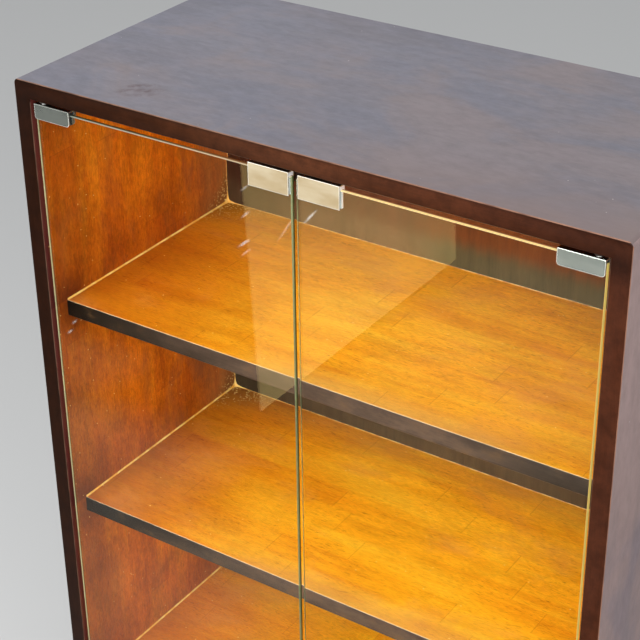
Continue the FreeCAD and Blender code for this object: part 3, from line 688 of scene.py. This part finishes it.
def backFinish():
    wood = Finish("back_sheet")
    cloud, streak, fibre = grain(wood, "z", backLook["seed"])
    tone = wood.mixed((cloud, streak, fibre), backLook["shares"])
    onRight = wood.level(wood.x, *backLook["rightStep"])
    inside = wood.blend(
        onRight, wood.ramp(tone, backLook["insideStops"]), wood.ramp(tone, backLook["insideRightStops"]))
    # greyer foot of each bay, and painted shade towards the ends
    rise = wood.times(bayPitch, bayRise(wood))
    uneven = wood.mixed((rise, streak), (1.0, backLook["footWaver"]))
    fadeStart, fadeEnd = (share * backLook["footHeight"] for share in backLook["footEdge"])
    foot = wood.level(uneven, fadeStart, fadeEnd, backLook["footStrength"], 0.0)
    # the foot's greyer colour, different on the right and in the lower bays
    dust = wood.blend(onRight, backLook["foot"], backLook["footRight"])
    dust = wood.blend(wood.level(wood.z, *backLook["topBay"]), backLook["footLow"], dust)
    greyedFoot = wood.dimmed(dust, wood.level(tone, *backLook["footShade"]))
    inside = wood.blend(foot, inside, greyedFoot)
    endStart = innerHalf - backLook["endDepth"]
    ends = wood.level(wood.size(wood.x), endStart, innerHalf, 1.0, backLook["endShade"])
    inside = wood.dimmed(inside, ends)
    rear = wood.ramp(wood.noise(backLook["veneer"], "z"), backLook["rearStops"])
    colour = wood.blend(wood.near(wood.y, panelRear, *backLook["rearStep"]), inside, rear)
    return wood.satin(colour, streak, streak, backLook)


beechLook = {
    "stops": [(0.3, tint(170, 128, 84)), (0.7, tint(206, 168, 120))],
    "seed": 52.0,
    "roughness": 0.7,
    "bump": (0.2, 0.2 * mm),
}


def bareWood():
    wood = Finish("bare_beech")
    streak, fibre = grain(wood, "y", beechLook["seed"])[1:]
    return wood.finish(wood.principled(
        Base_Color=wood.ramp(streak, beechLook["stops"]), Roughness=beechLook["roughness"],
        Normal=wood.bump(fibre, *beechLook["bump"])))


dress(["back_panel"], backFinish())
dress(["corner_splines", "shelf_dowels"], bareWood())
print("back dressed")

# glass

paneLook = {
    "ior": 1.5,
    "clear": (0.985, 0.995, 0.985, 1.0),
    "shadow": (0.94, 0.965, 0.94, 1.0),
    "body": (0.70, 0.90, 0.78, 1.0),
    "density": 6.0,
    "ease": (0.4 * mm, 2),
    # how far a face looks forward, up or to the right, for it to be the pane or an edge
    "facing": (0.6, 0.8),
    "edgeFacing": (0.5, 0.8),
    "upright": (0.3, 0.5, 1.0, 0.0),
    "edgeRoughness": 0.4,
    # how far behind the front and before the rear the edges start and stop darkening
    "edgeDepth": (1.6 * mm, 1.2 * mm),
    "topDepth": (2.8 * mm, 0.6 * mm),
    "topDeeper": (-0.05, 0.05, 1.3 * mm, 0.0),
    "topFront": tint(236, 228, 188),
    "topFrontRight": tint(255, 236, 176),
    "topFrontLeft": tint(186, 202, 184),
    "topRear": tint(124, 88, 44),
    "topRearLeft": tint(30, 52, 24),
    "topRight": (0.0, 0.1),
    "topLeft": (-0.24, -0.04, 1.0, 0.0),
    "leftEdge": tint(212, 208, 164),
    "leftEdgeRear": tint(96, 92, 40),
    "rightEdge": tint(255, 230, 140),
    "right": (-0.1, 0.1),
    "meetingFront": tint(150, 166, 124),
    "meetingRear": tint(48, 60, 22),
    "meeting": (0.02, 0.04, 1.0, 0.0),
    "meetingRise": (0.8, 0.95, 0.9, 1.4),
    "meetingClear": (-0.5, 0.5),
    "seam": (900, 240, 3, 0.55, 0.0, 57),
    "seamShade": (0.86, 1.08),
    "glow": tint(255, 236, 120),
    "rightGlow": 0.3,
    "rightGlowStep": (0.1, 0.2),
    "topGlow": 0.22,
    "topGlowStep": (-0.02, 0.06),
    # pale streaks: x, z, angle in degrees, half length and half width in millimetres, how strong
    "marks": [
        (0.0159, 0.9411, 50, 14.0, 1.6, 0.3),
        (-0.0094, 0.9232, 57, 22.0, 1.3, 0.12),
        (-0.0531, 0.9511, 42, 8.0, 1.6, 0.15),
        (-0.0532, 0.9253, 43, 9.0, 1.6, 0.15),
        (-0.0560, 0.8960, 40, 11.0, 1.8, 0.28),
        (-0.0545, 0.8870, 44, 10.0, 1.5, 0.12),
        (-0.2775, 0.7359, 42, 6.0, 1.6, 0.22),
        (-0.2707, 0.7490, 47, 5.5, 1.6, 0.18),
    ],
    "mark": tint(232, 226, 220),
    "markNoise": (300, 300, 4, 0.7, 0.0, 91),
    "markShare": (0.35, 1.0),
    "markSoft": 1.15,  # how far a mark fades out, in half widths
    "markStep": (0.0, 0.02),
}


def paleStreaks(glass):
    found = 0.0
    for x, z, angle, halfLength, halfWidth, strength in paneLook["marks"]:
        right = glass.maths("SUBTRACT", glass.x, x)
        up = glass.maths("SUBTRACT", glass.z, z)
        lengthwise, crosswise = glass.turned(right, up, math.radians(angle))
        found = glass.most(found, glass.times(
            glass.near(glass.size(lengthwise), 0.0, 0.0, halfLength, strength, 0.0),
            glass.near(glass.size(crosswise), 0.0, 0.0, paneLook["markSoft"] * halfWidth, 1.0, 0.0)))
    rough = glass.noise(paneLook["markNoise"])
    return glass.times(found, glass.level(rough, *middleBand, *paneLook["markShare"]))


def uprightEdges(glass, low, high):
    # the upright edges darken towards the rear, partly painted shade, and are greener where the doors meet
    start, stop = paneLook["edgeDepth"]
    rearward = glass.level(glass.y, low.y + start, high.y - stop)
    meeting = glass.level(glass.size(glass.x), *paneLook["meeting"])
    green = glass.blend(rearward, paneLook["meetingFront"], paneLook["meetingRear"])
    # painted light: the meeting edges brighten near the top, and the right hinge edge is painted golden
    green = glass.dimmed(green, glass.level(glass.z, *paneLook["meetingRise"]))
    hingeEdge = glass.blend(rearward, paneLook["leftEdge"], paneLook["leftEdgeRear"])
    hingeEdge = glass.blend(glass.level(glass.x, *paneLook["right"]), hingeEdge, paneLook["rightEdge"])
    return meeting, glass.blend(meeting, hingeEdge, green)


def topEdges(glass, low, high):
    # painted light and shade on the top edges: pale at the front, brightest on the right, dark and greener
    # at the rear and left
    onLeft = glass.level(glass.x, *paneLook["topLeft"])
    toRight = glass.level(glass.x, *paneLook["topRight"])
    topFront = glass.blend(toRight, paneLook["topFront"], paneLook["topFrontRight"])
    topFront = glass.blend(onLeft, topFront, paneLook["topFrontLeft"])
    topRear = glass.blend(onLeft, paneLook["topRear"], paneLook["topRearLeft"])
    start, stop = paneLook["topDepth"]
    depth = glass.maths("ADD", glass.y, glass.level(glass.x, *paneLook["topDeeper"]))
    rearward = glass.level(depth, low.y + start, high.y - stop)
    return rearward, glass.blend(rearward, topFront, topRear)


def edgeGlow(glass, across, onTop, rearward):
    # painted glow for light that runs inside the right pane and leaves by its right and top edges
    rightGlow = glass.level(across, *paneLook["edgeFacing"], 0.0, paneLook["rightGlow"])
    topGlow = glass.times(onTop, glass.level(rearward, 0.0, 1.0, paneLook["topGlow"], 0.0))
    return glass.most(
        glass.times(rightGlow, glass.level(glass.x, *paneLook["rightGlowStep"])),
        glass.times(topGlow, glass.level(glass.x, *paneLook["topGlowStep"])))


def glassFinish():
    glass = Finish("door_glass")
    low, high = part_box("left_glass")
    across, outward, upward = glass.parts(glass.normal)
    meeting, rim = uprightEdges(glass, low, high)
    onTop = glass.level(upward, *paneLook["edgeFacing"])
    rearward, topRim = topEdges(glass, low, high)
    rim = glass.blend(onTop, rim, topRim)
    seam = glass.noise(paneLook["seam"], "y")
    rim = glass.dimmed(rim, glass.level(seam, *wideBand, *paneLook["seamShade"]))

    # the right door's meeting edge stays clear, like the panes
    pane = glass.level(glass.size(outward), *paneLook["facing"])
    pane = glass.most(pane, glass.times(
        meeting,
        glass.near(glass.x, -high.x, *paneLook["meetingClear"]),
        glass.level(glass.size(upward), *paneLook["upright"])))
    marks = glass.times(paleStreaks(glass), pane)
    pane = glass.maths("SUBTRACT", pane, marks)
    edge = glass.principled(
        Base_Color=glass.blend(glass.level(marks, *paneLook["markStep"]), rim, paneLook["mark"]),
        Roughness=paneLook["edgeRoughness"], IOR=paneLook["ior"],
        Emission_Color=paneLook["glow"], Emission_Strength=edgeGlow(glass, across, onTop, rearward))
    smooth = {"Color": paneLook["clear"], "Roughness": 0.0, "IOR": paneLook["ior"]}
    clear = glass.output("BsdfGlass", smooth)
    body = glass.output("MixShader", {0: pane, 1: edge, 2: clear})
    unlit = glass.output("BsdfTransparent", {0: paneLook["shadow"]})
    path = glass.node("LightPath").outputs
    shader = glass.output("MixShader", {0: path["Is Shadow Ray"], 1: body, 2: unlit})
    tinge = {"Color": paneLook["body"], "Density": paneLook["density"]}
    return glass.finish(shader, glass.output("VolumeAbsorption", tinge))


doorSides = ("left", "right")
paneNames = [f"{side}_glass" for side in doorSides]
dress(paneNames, glassFinish())
ease(paneNames, *paneLook["ease"])
print("glass dressed")

# metal

hingePlaces = [f"{side}_{place}" for side in doorSides for place in ("upper", "lower")]
clipNames = [f"{place}_hinge" for place in hingePlaces]
pinNames = [f"{place}_pin" for place in hingePlaces]
strikeNames = [f"{side}_strike_plate" for side in doorSides]
screwNames = [f"{side}_hinge_screws" for side in doorSides] + ["back_screws", "foot_screws", "latch_screws"]
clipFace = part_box(clipNames[0])[0].y
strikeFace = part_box(strikeNames[0])[0].y
dullSteel = tint(170, 170, 166)
metalLook = {
    # pieces, finish, bright and dull colour, roughness, and for the clips how metallic they are, where
    # their front is and how bright their upper arrises are
    "pieces": [
        (clipNames, "hinge_steel", tint(206, 212, 202), tint(186, 194, 184), 0.26, 0.74, clipFace, 0.2),
        # the strikes' cream is partly a painted warm reflection on satin steel
        (strikeNames, "strike_steel", tint(206, 190, 158), tint(186, 164, 126), 0.42, 0.4, strikeFace),
        (pinNames, "pin_steel", dullSteel, dullSteel, 0.3),
        (screwNames, "screw_steel", tint(196, 190, 176), dullSteel, 0.32),
        (["latch_springs"], "spring_steel", tint(150, 152, 156), dullSteel, 0.3),
        (["left_magnet", "right_magnet"], "magnet_metal", tint(120, 120, 122), dullSteel, 0.35),
    ],
    "smear": (24, 70, 3, 0.5, 0.0, 63),
    "smearRough": 0.03,
    "rounding": 1.2 * mm,
    "roundingSamples": 8,
    "rim": tint(250, 250, 240),
    "rimDepth": 0.4 * mm,
    "rimBend": (0.86, 0.99, 1.0, 0.0),
    "rimRise": (0.1, 0.4),
    "rimMetallic": 0.2,
    "shaded": tint(26, 22, 18),
    "topFacing": (0.3, 0.5),
    "leftShade": (-0.26, -0.06, 0.5, 1.0),
    "clipEase": (0.5 * mm, 3),
    "strikeEase": (0.3 * mm, 2),
}


def metalFinish(name, bright, dull, rough, shine=1.0, face=None, topRim=1.0):
    metal = Finish(name)
    smear = metal.noise(metalLook["smear"], "x")
    colour = metal.blend(metal.level(smear, *wideBand), dull, bright)
    rounding = {"Radius": metalLook["rounding"]}
    rounded = metal.output("Bevel", rounding, samples=metalLook["roundingSamples"])
    if face is not None:
        # painted highlights on the arrises, and painted shade on the bridge under the case
        upward = metal.parts(metal.normal)[2]
        flat = metal.node("NewGeometry").outputs["True Normal"]
        bent = metal.node("VectorMath", {0: rounded, 1: flat}, operation="DOT_PRODUCT").outputs["Value"]
        depth = metalLook["rimDepth"]
        lip = metal.level(metal.y, face + depth, face + 2 * depth, 1.0, 0.0)
        # painted shade darkens the left clips
        colour = metal.dimmed(colour, metal.level(metal.x, *metalLook["leftShade"]))
        onTop = metal.level(upward, *metalLook["topFacing"])
        bridge = metal.times(onTop, metal.maths("SUBTRACT", 1.0, lip))
        colour = metal.blend(bridge, colour, metalLook["shaded"])
        rising = metal.level(metal.parts(rounded)[2], *metalLook["rimRise"], 1.0, topRim)
        arrisHighlight = metal.times(metal.level(bent, *metalLook["rimBend"]), lip, rising)
        colour = metal.blend(arrisHighlight, colour, metalLook["rim"])
        shine = metal.level(arrisHighlight, 0.0, 1.0, shine, metalLook["rimMetallic"])
    spread = metalLook["smearRough"]
    return metal.finish(metal.principled(
        Base_Color=colour, Metallic=shine,
        Roughness=metal.level(smear, *wideBand, rough - spread, rough + spread), Normal=rounded))


for pieces, *look in metalLook["pieces"]:
    dress(pieces, metalFinish(*look))
ease(clipNames, *metalLook["clipEase"])
ease(strikeNames, *metalLook["strikeEase"])
print("metal dressed")

# plastic and rubber

plasticLook = {
    # pieces, finish, colour and roughness
    "pieces": [
        (["latch_housing", "left_plunger", "right_plunger"], "latch_plastic", tint(52, 36, 28), 0.4),
        (["upper_pivot_bushes", "lower_pivot_bushes"], "bush_plastic", tint(44, 34, 28), 0.4),
        (["foot_glides"], "foot_plastic", tint(34, 30, 28), 0.5),
        (["left_strike_liner", "right_strike_liner"], "liner_plastic", tint(252, 253, 254), 0.4),
        (["left_hinge_pads", "right_hinge_pads"], "pad_rubber", tint(40, 42, 40), 0.7),
    ],
    "wear": (70, 70, 4, 0.55, 0.0, 73),
    "wearStep": (0.45, 0.7),
    "wearLift": 1.35,
    "wearRough": (-0.05, 0.1),
    "speckle": (1500, 1500, 2, 0.55, 0.0, 71),
    "bump": (0.15, 0.1 * mm),
}


def plasticFinish(name, colour, rough):
    plastic = Finish(name)
    speckle = plastic.noise(plasticLook["speckle"])
    wear = plastic.noise(plasticLook["wear"])
    lighter = tuple(min(1.0, level * plasticLook["wearLift"]) for level in colour[:3]) + (1.0,)
    least, most = (rough + change for change in plasticLook["wearRough"])
    return plastic.finish(plastic.principled(
        Base_Color=plastic.blend(plastic.level(wear, *plasticLook["wearStep"]), colour, lighter),
        Roughness=plastic.level(wear, *wideBand, least, most),
        Normal=plastic.bump(speckle, *plasticLook["bump"])))


for pieces, *look in plasticLook["pieces"]:
    dress(pieces, plasticFinish(*look))
print("plastic dressed")

# lacquer that has pooled in the inner corners of each bay

beadLook = {
    "sideRadius": 1.4 * mm,
    "backRadius": 0.6 * mm,
    "cornerRadius": 4.5 * mm,
    "spread": 4.0 * mm,
    "sink": 0.1 * mm,
    "shelfSetback": 1 * mm,
    "floorSetback": 20 * mm,
    "arcSteps": 6,
    "runSteps": 40,
    "colour": tint(255, 218, 128),
    "deep": tint(244, 176, 70),
    "thin": tint(176, 118, 62),
    "thinEnds": (-22, -6, 1.0, 0.0),
    "thinRise": (0.02, 0.06),
    "thinStep": (0.4, 0.6, 0.9, 0.5),
    "ripple": (110, 110, 4, 0.55, 0.0, 81),
    "bump": (0.2, 0.3 * mm),
    "roughness": 0.22,
    "specular": 0.4,
    "coat": 0.4,
    "coatRoughness": 0.12,
}


def beadFinish():
    bead = Finish("pooled_lacquer")
    ripple = bead.noise(beadLook["ripple"])
    # the pale gold is partly a painted highlight where the fillet catches the light
    colour = bead.blend(bead.level(ripple, *middleBand), beadLook["deep"], beadLook["colour"])
    # thinner and duller along the back, away from the corners
    middle = bead.near(bead.size(bead.x), innerHalf, *beadLook["thinEnds"])
    thin = bead.most(middle, bead.level(bayRise(bead), *beadLook["thinRise"]))
    duller = bead.times(thin, bead.level(ripple, *beadLook["thinStep"]))
    return bead.finish(bead.principled(
        Base_Color=bead.blend(duller, colour, beadLook["thin"]),
        Roughness=beadLook["roughness"], Specular_IOR_Level=beadLook["specular"],
        Coat_Weight=beadLook["coat"], Coat_Roughness=beadLook["coatRoughness"],
        Normal=bead.bump(ripple, *beadLook["bump"])))


def addBead(mesh, start, stop, first, second, thickness, swollenEnds):
    # a hollow fillet from start (end 0) to stop (end 1), between the faces that look along first and second
    run = stop - start
    rings = []
    for step in range(beadLook["runSteps"] + 1):
        share = step / beadLook["runSteps"]
        share = share * share * (3 - 2 * share)  # closer together near the ends
        near = min(abs(share - end) * run.length for end in swollenEnds)
        radius = thickness + (beadLook["cornerRadius"] - thickness) * math.exp(-near / beadLook["spread"])
        root = start + run * share - (first + second) * beadLook["sink"]
        ring = [mesh.verts.new(root)]
        for turn in range(beadLook["arcSteps"] + 1):
            angle = math.pi / 2 * turn / beadLook["arcSteps"]
            alongFirst = radius * (1 - math.sin(angle)) + beadLook["sink"]
            alongSecond = radius * (1 - math.cos(angle)) + beadLook["sink"]
            ring.append(mesh.verts.new(root + first * alongFirst + second * alongSecond))
        rings.append(ring)
    for here, there in zip(rings, rings[1:]):
        for index in range(len(here)):
            after = (index + 1) % len(here)
            mesh.faces.new((here[index], here[after], there[after], there[index]))
    mesh.faces.new(list(reversed(rings[0])))
    mesh.faces.new(rings[-1])


def bayBead(name, floor, roof, material):
    mesh = bmesh.new()
    up = Vector((0, 0, 1))
    forward = Vector((0, -1, 0))
    beside = beadLook["sideRadius"]
    behind = beadLook["backRadius"]
    frontEnd = front + beadLook["floorSetback"]
    if floor > lowestFloor:
        frontEnd = shelfFront + beadLook["shelfSetback"]
    for sign in (-1, 1):
        inward = Vector((-sign, 0, 0))
        corner = Vector((sign * innerHalf, panelFront, floor))
        above = Vector((sign * innerHalf, panelFront, roof))
        addBead(mesh, Vector((sign * innerHalf, frontEnd, floor)), corner, inward, up, beside, (1.0,))
        addBead(mesh, corner, above, inward, forward, behind, (0.0,))
    left = Vector((-innerHalf, panelFront, floor))
    addBead(mesh, left, left + Vector((2 * innerHalf, 0, 0)), forward, up, behind, (0.0, 1.0))
    bmesh.ops.recalc_face_normals(mesh, faces=mesh.faces)
    data = bpy.data.meshes.new(name)
    mesh.to_mesh(data)
    mesh.free()
    for polygon in data.polygons:
        polygon.use_smooth = len(polygon.vertices) == 4
    data.materials.append(material)
    piece = addObject(name, data)
    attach(piece, "case")


shelves = ["lower_shelf", "middle_shelf", "upper_shelf"]
floors = [lowestFloor] + [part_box(shelf)[1].z for shelf in shelves]
roofs = [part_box(shelf)[0].z for shelf in shelves] + [ceiling]
lacquer = beadFinish()
for number, (floor, roof) in enumerate(zip(floors, roofs), start=1):
    bayBead(f"bay_{number}_bead", floor, roof, lacquer)
print("beads laid")

# floor and what the glass reflects

stageLook = {
    "floorSize": 30.0,
    "floor": (0.62, 0.62, 0.61, 1.0),
    "floorRoughness": 0.9,
    "floorSpecular": 0.1,
    # outline, height, colour and strength of each card
    "dark_card": (
        [(-2.6, -5.0), (2.6, -5.0), (2.6, -0.35), (-2.6, -0.35)],
        3 * mm, (1.0, 0.95, 0.85, 1.0), 0.02),
    "warm_card": (
        [(-0.71, -1.05), (-1.69, -2.30), (-1.05, -2.30), (-0.71, -1.72)],
        6 * mm, (1.0, 0.76, 0.3, 1.0), 1.3),
    # paler patches on the dark card: x range, y range, how softly they fade, strength
    "patches": [
        ((-1.9, -0.98), (-1.08, -0.3), 0.06, 0.17),
        ((-1.2, -0.66), (-0.92, -0.3), 0.08, 0.32),
        ((-1.2, -0.35), (-0.72, -0.3), 0.16, 0.37),
        ((-0.66, 0.2), (-1.78, -1.2), 0.14, 0.26),
    ],
}


def addSheet(name, outline, height):
    data = bpy.data.meshes.new(name)
    data.from_pydata([(x, y, height) for x, y in outline], [], [(0, 1, 2, 3)])
    sheet = addObject(name, data)
    return sheet


def layFloor():
    half = stageLook["floorSize"] / 2
    floor = addSheet("studio_floor", [(-half, -half), (half, -half), (half, half), (-half, half)], 0.0)
    paint = Finish("floor_paint")
    floor.data.materials.append(paint.finish(paint.principled(
        Base_Color=stageLook["floor"], Roughness=stageLook["floorRoughness"],
        Specular_IOR_Level=stageLook["floorSpecular"])))


def layCard(name, patches=()):
    # a studio card on the floor, which shows only in reflections
    outline, height, colour, strength = stageLook[name]
    card = addSheet(name, outline, height)
    paint = Finish(name + "_paint")
    for (left, right), (near, far), soft, patchStrength in patches:
        strength = paint.most(strength, paint.times(
            paint.level(paint.x, left - soft, left + soft, 0.0, patchStrength),
            paint.level(paint.x, right - soft, right + soft, 1.0, 0.0),
            paint.level(paint.y, near - soft, near + soft),
            paint.level(paint.y, far - soft, far + soft, 1.0, 0.0)))
    glow = paint.output("Emission", {"Color": colour, "Strength": strength})
    gone = paint.output("BsdfTransparent")
    mirrored = paint.maths("GREATER_THAN", paint.node("LightPath").outputs["Glossy Depth"], 0.5)
    shader = paint.output("MixShader", {0: mirrored, 1: gone, 2: glow})
    card.data.materials.append(paint.finish(shader))
    card.visible_camera = False
    card.visible_diffuse = False
    card.visible_shadow = False


layFloor()
layCard("dark_card", stageLook["patches"])
layCard("warm_card")
print("floor laid")

# light

lightLook = {
    "sky": (0.95, 0.97, 1.0, 1.0),
    "ambient": 0.55,
    "background": (1.0, 1.0, 1.0, 1.0),
    # place, aim, size and power of each lamp
    "key": ((-0.45, -2.9, 2.4), (0.0, -0.05, 0.65), 2.2, 114.0),
    "fill": ((1.9, -2.2, 1.7), (0.0, 0.0, 0.7), 1.8, 45.0),
}


def addLamp(name):
    place, aim, size, power = lightLook[name]
    data = bpy.data.lights.new(name, "AREA")
    data.shape = "SQUARE"
    data.size = size
    data.energy = power
    lamp = addObject(name, data)
    turn = (Vector(aim) - Vector(place)).to_track_quat("-Z", "Y").to_matrix().to_4x4()
    lamp.matrix_world = Matrix.Translation(place) @ turn
    lamp.visible_camera = False


def lightSky():
    # soft light all round, and a white background where the camera, gloss or glass looks past the floor
    world = bpy.data.worlds.new("studio")
    bpy.context.scene.world = world
    sky = Nodes(world)
    path = sky.node("LightPath").outputs
    seen = sky.most(path["Is Camera Ray"], path["Is Glossy Ray"], path["Is Transmission Ray"])
    soft = sky.output("Background", {"Color": lightLook["sky"], "Strength": lightLook["ambient"]})
    white = sky.output("Background", {"Color": lightLook["background"]})
    sky.node("OutputWorld", {"Surface": sky.output("MixShader", {0: seen, 1: soft, 2: white})})


lightSky()
addLamp("key")
addLamp("fill")
print("lights up")

# camera

cameraLook = {
    "place": (0.7610, -1.2360, 1.5865),
    "turn": (0.5965, -0.5166, -0.0118),  # yaw to the left of +Y, pitch and roll
    "lens": 95.84,
    "sensor": 36.0,
}


def setCamera():
    yaw, pitch, roll = cameraLook["turn"]
    ahead = Vector((-math.sin(yaw) * math.cos(pitch), math.cos(yaw) * math.cos(pitch), math.sin(pitch)))
    level = Vector((math.cos(yaw), math.sin(yaw), 0))
    rise = level.cross(ahead)
    across = level * math.cos(roll) + rise * math.sin(roll)
    upward = rise * math.cos(roll) - level * math.sin(roll)
    turn = Matrix((across, upward, -ahead)).transposed().to_4x4()
    data = bpy.data.cameras.new("camera")
    data.lens = cameraLook["lens"]
    data.sensor_width = cameraLook["sensor"]
    camera = addObject("camera", data)
    camera.matrix_world = Matrix.Translation(cameraLook["place"]) @ turn
    bpy.context.scene.camera = camera


setCamera()
bpy.context.scene.view_settings.view_transform = "Standard"
print("camera set")
